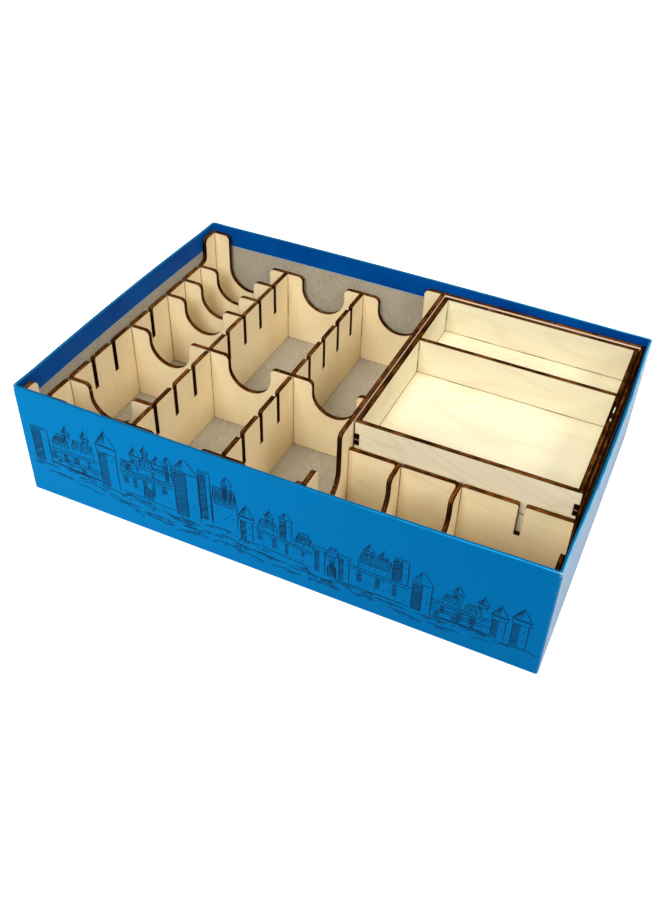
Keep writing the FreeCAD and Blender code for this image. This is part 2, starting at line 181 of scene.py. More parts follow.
# Heat of the cut goes from 0, well toasted, to 1, nearly black. Its toll is the share of brown it takes.
USUAL_HEAT = 0.15
HEAT_TOLL = 0.7
HEAT = {"right_wall": 0.65, "front_wall": 0.8, "top_tray_right": 0.45, "lower_tray_right": 0.5}
# Painted shadow: on these walls the outer part of the cut edge is painted black, for the shaded gap
# beside it.
GAP_SHADOW_OUTSIDE = ("right_wall",)

# One edge has a black stretch with pale chips, each a place and half length in millimetres along y.
SCARRED = ("top_tray_right",)
SCAR_MIDDLE = 25.5
SCAR_HALF = 10.0
SCAR_CHIPS = ((27.5, 2.6), (19.0, 1.4))

# Black ends of the top tray's fingers, with a line of ash. The line is measured down from the rim.
FINGERED = ("top_tray_left", "top_tray_right")
ASH_DEPTH = 10.7
ASH_SHARE = 0.8

PLYWOOD = [name for name, node in frame["nodes"].items() if node["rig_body"] != "box"]


# ---------------------------------------------------------------- shader helpers


class Shader:
    """One procedural material, with short ways to add and join its nodes."""

    def __init__(self, name, roughness, specular):
        self.material = bpy.data.materials.new(name)
        self.material.use_nodes = True
        self.tree = self.material.node_tree
        self.surface = self.tree.nodes["Principled BSDF"]
        self.surface.inputs["Roughness"].default_value = roughness
        self.surface.inputs["Specular IOR Level"].default_value = specular

    def add(self, kind, inputs=None, **settings):
        """New node with its settings, and its inputs given as numbers or as sockets."""
        node = self.tree.nodes.new(kind)
        for key, value in settings.items():
            setattr(node, key, value)
        for key, value in (inputs or {}).items():
            self.feed(node.inputs[key], value)
        return node

    def feed(self, socket, value):
        """Link a socket, or set its value."""
        if isinstance(value, bpy.types.NodeSocket):
            self.tree.links.new(value, socket)
        elif isinstance(value, tuple) and len(value) == 3 and socket.type == "RGBA":
            socket.default_value = (*value, 1.0)
        else:
            socket.default_value = value

    def maths(self, operation, first, second=0.0, third=0.0):
        """Result of one arithmetic step."""
        node = self.add("ShaderNodeMath", {0: first, 1: second, 2: third}, operation=operation)
        return node.outputs[0]

    def product(self, first, *others):
        """Several values multiplied."""
        for other in others:
            first = self.maths("MULTIPLY", first, other)
        return first

    def distance(self, value, centre):
        """How far a value is from a centre, either way."""
        return self.maths("ABSOLUTE", self.maths("SUBTRACT", value, centre))

    def ramp(self, value, low, high, start=0.0, end=1.0):
        """Smooth step of a value from start to end, between low and high."""
        node = self.add("ShaderNodeMapRange", {"Value": value}, interpolation_type="SMOOTHSTEP")
        self.feed(node.inputs["From Min"], low)
        self.feed(node.inputs["From Max"], high)
        self.feed(node.inputs["To Min"], start)
        self.feed(node.inputs["To Max"], end)
        return node.outputs["Result"]

    def blend(self, share, first, second):
        """Colour that goes from first to second."""
        node = self.add("ShaderNodeMix", data_type="RGBA")
        self.feed(node.inputs[0], share)
        self.feed(node.inputs[6], first)
        self.feed(node.inputs[7], second)
        return node.outputs[2]

    def place(self):
        """Position in the CAD frame, in millimetres."""
        spot = self.add("ShaderNodeTexCoord").outputs["Object"]
        scaled = self.add("ShaderNodeVectorMath", {0: spot, 1: (1000.0,) * 3}, operation="MULTIPLY")
        return scaled.outputs[0]

    def parts(self, vector):
        """The three coordinates of a vector."""
        return self.add("ShaderNodeSeparateXYZ", {0: vector}).outputs

    def noise(self, vector, scale, detail=2.0, roughness=0.5):
        """Noise from 0 to 1."""
        values = {"Vector": vector, "Scale": scale, "Detail": detail, "Roughness": roughness}
        return self.add("ShaderNodeTexNoise", values).outputs["Fac"]

    def stretch(self, vector, scale, turn=0.0, shift=(0.0, 0.0, 0.0)):
        """Vector moved and turned about z, then scaled axis by axis."""
        values = {"Vector": vector, "Location": shift, "Rotation": (0.0, 0.0, turn)}
        turned = self.add("ShaderNodeMapping", values)
        return self.add("ShaderNodeMapping", {"Vector": turned.outputs[0], "Scale": scale}).outputs[0]

    def normal(self):
        """Direction that the surface faces."""
        return self.add("ShaderNodeNewGeometry").outputs["Normal"]

    def bump(self, height, strength, distance):
        """Fine relief on the surface."""
        values = {"Height": height, "Strength": strength, "Distance": distance}
        node = self.add("ShaderNodeBump", values)
        self.feed(self.surface.inputs["Normal"], node.outputs["Normal"])

    def gloss_tint(self, tint):
        """Colour of the reflection seen straight on. Seen along the surface it stays white."""
        self.surface.inputs["Specular Tint"].default_value = (*tint, 1.0)

    def colour(self, value):
        """Set the base colour and return the material."""
        self.feed(self.surface.inputs["Base Color"], value)
        return self.material


# ---------------------------------------------------------------- materials


def sheet_plane(shader, thin):
    """Position with the sheet's own two directions first and its thickness last."""
    parts = shader.parts(shader.place())
    order = {0: (1, 2, 0), 1: (0, 2, 1), 2: (0, 1, 2)}[thin]
    values = {index: parts[axis] for index, axis in enumerate(order)}
    return shader.add("ShaderNodeCombineXYZ", values).outputs[0]


def grain(shader, plane, figure, shift):
    """Tone of the wood from its growth rings, streaks, flecks and clouds, and the streaks alone."""
    turn = math.radians(figure["turn"])
    along = shader.stretch(plane, (figure["ring_along"], figure["ring_across"], 0.01), turn, shift)
    rings = shader.noise(along, 1.0, detail=1.5, roughness=0.4)
    wave = shader.maths("SINE", shader.maths("MULTIPLY", rings, figure["ring_count"]))
    line = shader.ramp(wave, 0.55, 1.0)
    streaks = shader.noise(shader.stretch(plane, STREAK_GRAIN, turn, shift), 1.0, detail=3.0)
    flecks = shader.noise(shader.stretch(plane, FLECK_GRAIN, turn, shift), 1.0, detail=1.0)
    cloud = shader.noise(shader.stretch(plane, CLOUD_GRAIN, turn, shift), 1.0, detail=2.0)
    tone = shader.maths("MULTIPLY", line, figure["ring_strength"])
    tone = shader.maths("MULTIPLY_ADD", shader.ramp(streaks, 0.45, 0.75), figure["streak"], tone)
    tone = shader.maths("MULTIPLY_ADD", shader.ramp(flecks, 0.62, 0.72), FLECK_STRENGTH, tone)
    tone = shader.maths("MULTIPLY_ADD", shader.ramp(cloud, 0.35, 0.75), CLOUD_STRENGTH, tone)
    return tone, streaks


def pores(shader, plane, colour):
    """A few small dark pores."""
    cells = shader.add("ShaderNodeTexVoronoi", {"Vector": plane, "Scale": PORE_CELLS})
    chosen = shader.add("ShaderNodeSeparateColor", {0: cells.outputs["Color"]}).outputs[0]
    size = shader.ramp(chosen, PORE_CHOSEN, 1.0, 0.0, PORE_RADIUS)
    speck = shader.maths("LESS_THAN", cells.outputs["Distance"], size)
    return shader.blend(shader.maths("MULTIPLY", speck, PORE_STRENGTH), colour, CHAR_BROWN)


def birch_face(node, thin, figure, seed):
    """Sanded birch veneer with its grain, a knot or a few pores, and the smoke of the laser."""
    shader = Shader(node + "_veneer", roughness=0.62, specular=0.10)
    plane = sheet_plane(shader, thin)
    tone, streaks = grain(shader, plane, figure, [seed * step for step in GRAIN_STEP])
    if node in KNOTS:
        tone = knot(shader, plane, tone, KNOTS[node])
    colour = shader.blend(tone, figure["wood"], BIRCH_DARK)
    colour = pores(shader, plane, colour)
    shader.bump(streaks, 0.12, 0.0003)
    share = 1.0
    if node in CLEAN_FACES:
        share, colour = strip_beside_tray(shader, colour)
    return shader.colour(scorched(shader, colour, share))


def knot(shader, plane, tone, spot):
    """Small knot with growth rings drawn out along the grain."""
    offset = shader.add("ShaderNodeVectorMath", {0: plane, 1: spot}, operation="SUBTRACT")
    scaling = {0: offset.outputs[0], 1: KNOT_SCALE}
    drawn = shader.add("ShaderNodeVectorMath", scaling, operation="MULTIPLY")
    length = shader.add("ShaderNodeVectorMath", {0: drawn.outputs[0]}, operation="LENGTH")
    reach = length.outputs["Value"]
    reach = shader.maths("MULTIPLY_ADD", shader.noise(plane, 0.10, detail=2.0), 0.5, reach)
    wave = shader.maths("SINE", shader.maths("MULTIPLY", reach, KNOT_RINGS))
    wave = shader.ramp(wave, 0.5, 1.0)
    rings = shader.maths("MULTIPLY", wave, shader.ramp(reach, 1.9, 0.7))
    tone = shader.maths("MULTIPLY_ADD", rings, KNOT_RING_STRENGTH, tone)
    eye = shader.ramp(reach, 0.42, 0.28)
    return shader.maths("MULTIPLY_ADD", eye, KNOT_EYE_STRENGTH, tone)


def strip_beside_tray(shader, colour):
    """Share of the laser's marks left on a wall, and its colour. Both change above the tray's rim, where
    the colour is tinted pink and painted lighter.
    """
    low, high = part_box("bay_wall")
    middle = (low.x + high.x) / 2 / MM
    parts = shader.parts(shader.place())
    beside = shader.ramp(parts[0], middle - 0.2, middle + 0.2)
    tray_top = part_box("top_tray_rear")[1].z / MM
    above = shader.ramp(parts[2], tray_top - 2.0, tray_top - 0.5)
    beside = shader.maths("MULTIPLY", beside, above)
    # Painted light: the strip above the tray is lightened, and tinted pink.
    pink_and_painted_light = shader.blend(shader.maths("MULTIPLY", beside, STRIP_SHARE), colour, STRIP_PINK_AND_LIGHT)
    return shader.maths("SUBTRACT", 1.0, beside), pink_and_painted_light


def near_cut(shader, width, low, high):
    """Share that grows within a width of the sheet's edges."""
    rounded = shader.add("ShaderNodeBevel", {"Radius": width * MM}, samples=4).outputs["Normal"]
    both = {0: rounded, 1: shader.normal()}
    cosine = shader.add("ShaderNodeVectorMath", both, operation="DOT_PRODUCT").outputs["Value"]
    return shader.ramp(cosine, low, high)


def scorched(shader, colour, share):
    """Smoke and a dark rim where the laser cut the sheet, and a hairline where sheets meet."""
    smoke = near_cut(shader, SMOKE_WIDTH, 0.999, 0.75)
    colour = shader.blend(shader.product(smoke, share, SMOKE_STRENGTH), colour, SMOKE)
    rim = near_cut(shader, RIM_WIDTH, 0.995, 0.86)
    colour = shader.blend(shader.product(rim, share, RIM_STRENGTH), colour, CHAR_RIM)
    nearby = {"Distance": HAIRLINE_WIDTH * MM}
    hidden = shader.add("ShaderNodeAmbientOcclusion", nearby, samples=6)
    corner = shader.ramp(hidden.outputs["AO"], 0.80, 0.50)
    return shader.blend(shader.product(corner, share, HAIRLINE_STRENGTH), colour, CHAR_LINE)


def toast_and_painted_shade(shader, middle, streak, patch, ripple):
    """Share of brown in the char, highest in the core plies, with painted shade that lowers it where the
    edge stands upright.
    """
    level = shader.maths("ABSOLUTE", shader.parts(shader.normal())[2])
    return shader.product(
        shader.ramp(middle, FACE_PLY, CORE_PLY),
        shader.ramp(streak, 0.36, 0.62, 0.20, 1.0),
        shader.ramp(patch, 0.28, 0.62, 0.25, 1.0),
        shader.ramp(ripple, 0.40, 0.58, 0.35, 1.0),
        # Painted shade: upright edges get less brown than level ones.
        shader.ramp(level, 0.25, 0.65, 0.30, 1.0),
    )


def charred_edge(node, thin, seed):
    """Laser-cut edge: dark face veneers, glue lines, a core with streaks, beam ripples, and painted shade
    on upright edges.
    """
    shader = Shader(node + "_edge", roughness=0.90, specular=0.01)
    plane = sheet_plane(shader, thin)
    shift = [seed * step for step in EDGE_STEP]
    streak = shader.noise(shader.stretch(plane, FIBRE_GRAIN, 0.0, shift), 1.0, detail=3.0)
    patch = shader.noise(shader.stretch(plane, PATCH_GRAIN, 0.0, shift), 1.0, detail=2.0)
    ripple = shader.noise(shader.stretch(plane, RIPPLE_GRAIN, 0.0, shift), 1.0, detail=1.0)
    depth = shader.parts(shader.add("ShaderNodeTexCoord").outputs["Generated"])[thin]
    middle = shader.distance(depth, 0.5)
    toast_and_shade = toast_and_painted_shade(shader, middle, streak, patch, ripple)
    toast_and_shade = shader.maths("MULTIPLY", toast_and_shade, 1.0 - HEAT_TOLL * HEAT.get(node, USUAL_HEAT))
    colour = shader.blend(toast_and_shade, CHAR, CHAR_BROWN)
    glue = shader.ramp(shader.distance(middle, CORE_PLY), GLUE_HALF, 0.0)
    bright = shader.ramp(patch, 0.44, 0.66, 0.0, GLUE_STRENGTH)
    colour = shader.blend(shader.maths("MULTIPLY", glue, bright), colour, GLUE_LINE)
    chips = shader.ramp(shader.noise(plane, 0.45, detail=2.0), 0.72, 0.77)
    colour = shader.blend(shader.maths("MULTIPLY", chips, CHIP_STRENGTH), colour, BARE_WOOD)
    if node in SCARRED:
        colour = scar(shader, colour, depth)
    # Painted shadow of the gap beside the wall: the outer part of its edge turns black.
    if node in GAP_SHADOW_OUTSIDE:
        colour = shader.blend(shader.ramp(depth, 0.55, 0.72), colour, CHAR)
    if node in FINGERED:
        colour = finger_end(shader, colour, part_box(node)[1].z / MM)
    shader.bump(streak, 0.4, 0.0004)
    return shader.colour(colour)


def scar(shader, colour, depth):
    """Stretch of an edge black on its inner half, with pale chips on its outer half."""
    place = shader.place()
    along = shader.parts(place)[1]
    uneven = shader.noise(place, 0.9, detail=3.0)
    offset = shader.maths("MULTIPLY_ADD", uneven, 2.0, shader.distance(along, SCAR_MIDDLE))
    burnt = shader.ramp(offset, SCAR_HALF + 1.5, SCAR_HALF - 1.5)
    burnt = shader.maths("MULTIPLY", burnt, shader.ramp(depth, 0.66, 0.52))
    colour = shader.blend(burnt, colour, CHAR)
    outer = shader.maths("MULTIPLY", shader.ramp(depth, 0.56, 0.64), shader.ramp(depth, 0.86, 0.78))
    for middle, half in SCAR_CHIPS:
        reach = shader.maths("MULTIPLY_ADD", uneven, 1.5, shader.distance(along, middle))
        chip = shader.maths("MULTIPLY", shader.ramp(reach, half + 1.0, half), outer)
        colour = shader.blend(chip, colour, CHIP_WOOD)
    return colour


def finger_end(shader, colour, tray_rim):
    """Burnt end of a tray wall's finger, on the side that faces front."""
    front = shader.ramp(shader.parts(shader.normal())[1], -0.80, -0.95)
    place = shader.place()
    height = shader.parts(place)[2]
    uneven = shader.noise(place, 0.9, detail=2.0)
    offset = shader.distance(height, tray_rim - ASH_DEPTH)
    offset = shader.maths("MULTIPLY_ADD", uneven, 0.5, offset)
    ash = shader.ramp(offset, 0.75, 0.45)
    burnt = shader.blend(shader.maths("MULTIPLY", ash, ASH_SHARE), CHAR, FINGER_ASH)
    return shader.blend(front, colour, burnt)


def greyboard():
    """Bare recycled board: warm grey, with dark and light fibres."""
    shader = Shader("bare_greyboard", roughness=0.95, specular=0.1)
    place = shader.place()
    cloud = shader.noise(place, 0.06, detail=3.0)
    flakes = shader.noise(place, 0.85, detail=4.0, roughness=0.75)
    fibres = shader.noise(shader.stretch(place, (0.5, 2.5, 2.5)), 1.0, detail=2.0)
    colour = shader.blend(shader.ramp(cloud, 0.3, 0.7, 0.0, 0.22), BOARD, BOARD_LIGHT)
    colour = shader.blend(shader.ramp(flakes, 0.52, 0.68, 0.0, 0.45), colour, BOARD_DARK)
    colour = shader.blend(shader.ramp(flakes, 0.46, 0.32, 0.0, 0.55), colour, BOARD_LIGHT)
    colour = shader.blend(shader.ramp(fibres, 0.66, 0.74, 0.0, 0.35), colour, BOARD_LIGHT)
    shader.bump(flakes, 0.25, 0.0004)
    return shader.colour(colour)


def near_corner(shader, parts, reach):
    """Share that grows towards the box's upright corners, between two distances from its sides."""
    start, full = reach
    shares = []
    for axis in (0, 1):
        offset = shader.maths("ABSOLUTE", parts[axis])
        shares.append(shader.ramp(offset, WRAP_HIGH[axis] - start, WRAP_HIGH[axis] - full))
    return shader.maths("MULTIPLY", *shares)


def worn(shader, colour):
    """White paper fibres where the print has rubbed off at the corners and along the rim."""
    place = shader.place()
    parts = shader.parts(place)
    upright = near_corner(shader, parts, WORN_REACH)
    top = shader.ramp(parts[2], WRAP_HIGH[2] - WORN_DEPTH, WRAP_HIGH[2])
    scuff = shader.noise(place, 1.3, detail=4.0, roughness=0.65)
    share = shader.product(upright, top, shader.ramp(scuff, 0.42, 0.60))
    rubbed = shader.product(upright, 0.25, shader.ramp(scuff, 0.60, 0.72))
    colour = shader.blend(rubbed, colour, PAPER_CORE)
    return shader.blend(share, colour, PAPER_CORE)


def printed_paper(name, gloss, shade_and_fibre):
    """Blue printed paper under a thin laminate, with painted shade that darkens it towards the right, and
    painted highlights down the upright corners.
    """
    shader = Shader(name, roughness=0.30, specular=gloss)
    shader.gloss_tint(GLOSS_TINT)
    place = shader.place()
    parts = shader.parts(place)
    # Painted shade: the colour darkens from left to right across the box.
    cast = shader.ramp(parts[0], -WRAP_HIGH[0], WRAP_HIGH[0])
    fibre = shader.noise(place, 2.2, detail=3.0)
    colour = shader.blend(cast, PAPER_BLUE, shade_and_fibre)
    colour = shader.blend(shader.ramp(fibre, 0.45, 0.75, 0.0, 0.10), colour, shade_and_fibre)
    # Painted highlight down the upright corners.
    corner_highlight = near_corner(shader, parts, CORNER_HIGHLIGHT)
    colour = shader.blend(shader.maths("MULTIPLY", corner_highlight, CORNER_HIGHLIGHT_SHARE), colour, PAPER_HIGHLIGHT)
    shader.bump(shader.noise(place, 0.5, detail=3.0), 0.05, 0.0004)
    return shader.colour(worn(shader, colour))


def past_wall(shader, parts):
    """Distance from the outer face of the box's bowed walls, negative on the inner side."""
    reach = []
    for axis, other in ((0, 1), (1, 0)):
        bow = WRAP_HIGH[axis] - SQUARE_HIGH[axis]
        along = shader.maths("DIVIDE", parts[other], SQUARE_HIGH[other] - CORNER_STRAIGHT)
        arc = shader.maths("SUBTRACT", 1.0, shader.maths("MULTIPLY", along, along))
        arc = shader.maths("MAXIMUM", arc, 0.0)
        side = shader.maths("MULTIPLY_ADD", arc, bow, SQUARE_HIGH[axis])
        reach.append(shader.maths("SUBTRACT", shader.maths("ABSOLUTE", parts[axis]), side))
    return shader.maths("MAXIMUM", *reach)


def rim_paper():
    """Paper folded over the rim, with a painted highlight along its outer edge, growing and paling
    towards the right.
    """
    shader = Shader("printed_rim", roughness=0.30, specular=0.07)
    shader.gloss_tint(GLOSS_TINT)
    place = shader.place()
    parts = shader.parts(place)
    right = WRAP_HIGH[0]
    uneven = shader.noise(place, 0.12, detail=3.0)
    inner, outer = RIM_HIGHLIGHT
    # Painted highlight: a pale band along the rim's outer edge, growing towards the right.
    rim_highlight = shader.product(
        shader.ramp(past_wall(shader, parts), -inner, -outer),
        shader.ramp(uneven, 0.3, 0.6, 0.5, 1.0),
        shader.ramp(parts[0], -0.3 * right, right, 0.15, 1.0),
    )
    at_right = shader.ramp(parts[0], 0.94 * right, 0.98 * right)
    pale = shader.blend(at_right, PAPER_HIGHLIGHT_FRONT, PAPER_HIGHLIGHT)
    return shader.colour(worn(shader, shader.blend(rim_highlight, PAPER_RIM, pale)))


def turned_in_paper():
    """The same paper inside the box: a darker print, and a pale line at its cut edge."""
    shader = Shader("turned_in_paper", roughness=0.35, specular=0.07)
    shader.gloss_tint(GLOSS_TINT)
    place = shader.place()
    height = shader.parts(place)[2]
    cast = shader.noise(place, 0.03, detail=2.0)
    colour = shader.blend(shader.ramp(cast, 0.3, 0.7), TURN_IN_BLUE, TURN_IN_DEEP)
    wobble = shader.maths("MULTIPLY", shader.noise(place, 0.25, detail=3.0), 0.5)
    line = shader.maths("ADD", wobble, WRAP_HIGH[2] - FLAP_DEPTH)
    cut = shader.ramp(height, shader.maths("ADD", line, 0.25), line)
    colour = shader.blend(shader.maths("MULTIPLY", cut, 0.5), colour, PAPER_CORE)
    shader.bump(shader.noise(place, 0.4, detail=2.0), 0.05, 0.0004)
    return shader.colour(worn(shader, colour))


def kraft_tape():
    """Gummed brown tape with long fibres."""
    shader = Shader("kraft_stay", roughness=0.8, specular=0.1)
    place = shader.place()
    fibres = shader.noise(shader.stretch(place, (1.0, 1.0, 0.12)), 1.5, detail=3.0)
    return shader.colour(shader.blend(shader.ramp(fibres, 0.4, 0.7), KRAFT, KRAFT_DARK))


def ink():
    """Dark blue printing ink, slightly uneven like a pen line."""
    shader = Shader("drawing_ink", roughness=0.42, specular=0.02)
    uneven = shader.noise(shader.place(), 1.2, detail=2.0)
    return shader.colour(shader.blend(shader.ramp(uneven, 0.45, 0.75), INK, INK_THIN))


def soot():
    """Soot in the hairline gap between two sheets."""
    shader = Shader("gap_soot", roughness=0.9, specular=0.05)
    uneven = shader.noise(shader.place(), 0.8, detail=3.0)
    return shader.colour(shader.blend(shader.ramp(uneven, 0.35, 0.7), SOOT_BLACK, CHAR_LINE))


# ---------------------------------------------------------------- materials on the CAD nodes

STRAIGHT = {
    "turn": 90.0, "ring_along": 0.006, "ring_across": 0.05,
    "ring_count": 26.0, "ring_strength": 0.08, "streak": 0.08, "wood": BIRCH,
}
ARCS = {
    "turn": 4.0, "ring_along": 0.007, "ring_across": 0.035,
    "ring_count": 60.0, "ring_strength": 0.16, "streak": 0.07, "wood": BIRCH,
}
DIAGONAL = {
    "turn": 18.0, "ring_along": 0.007, "ring_across": 0.03,
    "ring_count": 70.0, "ring_strength": 0.18, "streak": 0.05, "wood": BIRCH_SLANT,
}
WAVES = {
    "turn": 4.0, "ring_along": 0.008, "ring_across": 0.03,
    "ring_count": 42.0, "ring_strength": 0.14, "streak": 0.13, "wood": BIRCH_TRAY,
}
FIGURES = {"bay_cross_wall": ARCS, "bay_divider_1": ARCS, "bay_divider_2": ARCS}
for tray in ("top_tray", "lower_tray"):
    FIGURES[tray + "_front"] = DIAGONAL
    for side in ("rear", "left", "right", "divider", "floor"):
        FIGURES[f"{tray}_{side}"] = WAVES
FLAT_FACE = 0.9


def thin_axis(node):
    """Index of the axis across a sheet."""
    low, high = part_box(node)
    return min(range(3), key=lambda axis: high[axis] - low[axis])


def dress_sheet(node, seed):
    """Give a plywood sheet veneer on its two faces and char on its cut edges."""
    thin = thin_axis(node)
    figure = FIGURES.get(node, STRAIGHT)
    mesh = frame["nodes"][node].data
    mesh.materials.clear()
    mesh.materials.append(birch_face(node, thin, figure, seed))
    mesh.materials.append(charred_edge(node, thin, seed))
    for polygon in mesh.polygons:
        polygon.material_index = 0 if abs(polygon.normal[thin]) > FLAT_FACE else 1


def dress_wrap():
    """Different prints on the wrap's front, its turned-in flap, its rim and its other sides."""
    mesh = frame["nodes"]["box_wrap"].data
    mesh.materials.clear()
    mesh.materials.append(printed_paper("printed_front", FRONT_GLOSS, PAPER_BLUE_SHADE_AND_FIBRE))
    mesh.materials.append(turned_in_paper())
    mesh.materials.append(rim_paper())
    mesh.materials.append(printed_paper("printed_sides", SIDE_GLOSS, PAPER_SIDE_SHADE_AND_FIBRE))
    front, flap, rim, sides = range(4)
    for polygon in mesh.polygons:
        centre = polygon.center
        polygon.material_index = front if polygon.normal.y < -FLAT_FACE else sides
        if centre.x * polygon.normal.x + centre.y * polygon.normal.y < 0:
            polygon.material_index = flap
        if polygon.normal.z > 0.5:
            polygon.material_index = rim


def dress_plain(node, material):
    """One material all over a node."""
    mesh = frame["nodes"][node].data
    mesh.materials.clear()
    mesh.materials.append(material)


for number, sheet in enumerate(sorted(PLYWOOD)):
    dress_sheet(sheet, number + 1)
dress_wrap()
dress_plain("box_greyboard", greyboard())
dress_plain("box_corner_stays", kraft_tape())
dress_plain("box_underside_sheet", printed_paper("printed_underside", SIDE_GLOSS, PAPER_SIDE_SHADE_AND_FIBRE))


def add_mesh(name, points, faces, material):
    """New object from points and faces, in one material."""
    mesh = bpy.data.meshes.new(name)
    mesh.from_pydata(points, [], faces)
    mesh.materials.append(material)
    thing = bpy.data.objects.new(name, mesh)
    bpy.context.scene.collection.objects.link(thing)
    return thing


# ---------------------------------------------------------------- soot in the tab joints

# Millimetres. Spans are heights above the tray's floor, and a tenon's is a height in the box.
SOOT_WIDTH = 0.30
SOOT_PROUD = 0.04
UPRIGHT_WIDTH = 0.18
TAB_LENGTH = 14.5
TABS_ACROSS = 31.6
FEET_ACROSS = 26.7
REAR_SPAN = (6.0, 13.0)
DIVIDER_SPANS = ((0.8, 7.8), (14.0, 19.3))
TENON_SPAN = (18.0, 32.7)


class Soot:
    """Thin closed strips of soot that show where tabs pass into a neighbouring sheet."""

    def __init__(self):
        self.points = []
        self.faces = []

    def strip(self, low, high):
        """Strip between two corners, in metres."""
        base = len(self.points)
        outline = ((low[0], low[1]), (high[0], low[1]), (high[0], high[1]), (low[0], high[1]))
        self.points += [(x, y, z) for z in (low[2], high[2]) for x, y in outline]
        self.faces.append((base + 3, base + 2, base + 1, base))
        self.faces.append((base + 4, base + 5, base + 6, base + 7))
        for corner in range(4):
            turn = (corner + 1) % 4
            self.faces.append((base + corner, base + turn, base + 4 + turn, base + 4 + corner))

    def along_x(self, start, stop, y, z):
        """Strip in the corner between a wall that faces front and a floor."""
        width = SOOT_WIDTH * MM
        proud = SOOT_PROUD * MM
        self.strip((start, y - width, z - proud), (stop, y + proud, z + proud))

    def upright(self, x, y, span, floor=0.0):
        """Strip in the corner between a wall that faces right and one that faces front."""
        proud = SOOT_PROUD * MM
        low, high = (floor + height * MM for height in span)
        reach = (x + UPRIGHT_WIDTH * MM, y + proud, high)
        self.strip((x - proud, y - SOOT_WIDTH * MM, low), reach)

    def piece(self, name, body, material):
        """The strips as one object on a body."""
        strips = add_mesh(name, self.points, self.faces, material)
        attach(strips, body)


def tray_soot(level, material):
    """Tab marks inside one tray: along its divider and rear wall, and in two corners."""
    soot = Soot()
    floor_low, floor_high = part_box(level + "_floor")
    middle = (floor_low.x + floor_high.x) / 2
    half = TAB_LENGTH / 2 * MM
    floor = floor_high.z
    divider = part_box(level + "_divider")[0].y
    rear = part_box(level + "_rear")[0].y
    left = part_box(level + "_left")[1].x
    for side in (-1, 1):
        foot = middle + side * FEET_ACROSS * MM
        soot.along_x(foot - half, foot + half, divider, floor)
    for step in (-1, 0, 1):
        tab = middle + step * TABS_ACROSS * MM
        soot.along_x(tab - half, tab + half, rear, floor)
    soot.upright(left, rear, REAR_SPAN, floor)
    for span in DIVIDER_SPANS:
        soot.upright(left, divider, span, floor)
    soot.piece(level + "_soot", level, material)


def frame_soot(material):
    """Tenon marks where the lane walls run into the rear wall."""
    soot = Soot()
    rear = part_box("rear_wall")[0].y
    for wall in ("lane_wall_1", "lane_wall_2"):
        soot.upright(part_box(wall)[1].x, rear, TENON_SPAN)
    soot.piece("frame_soot", "frame", material)


soot_material = soot()
tray_soot("top_tray", soot_material)
tray_soot("lower_tray", soot_material)
frame_soot(soot_material)


# ---------------------------------------------------------------- drawing on the front of the box

# Millimetres.
INK_PROUD = 0.03
INK_DEPTH = 0.05
PEN = 0.54
FINE_PEN = 0.45
PEN_RUN = 5.0
PEN_TAPER = 0.55


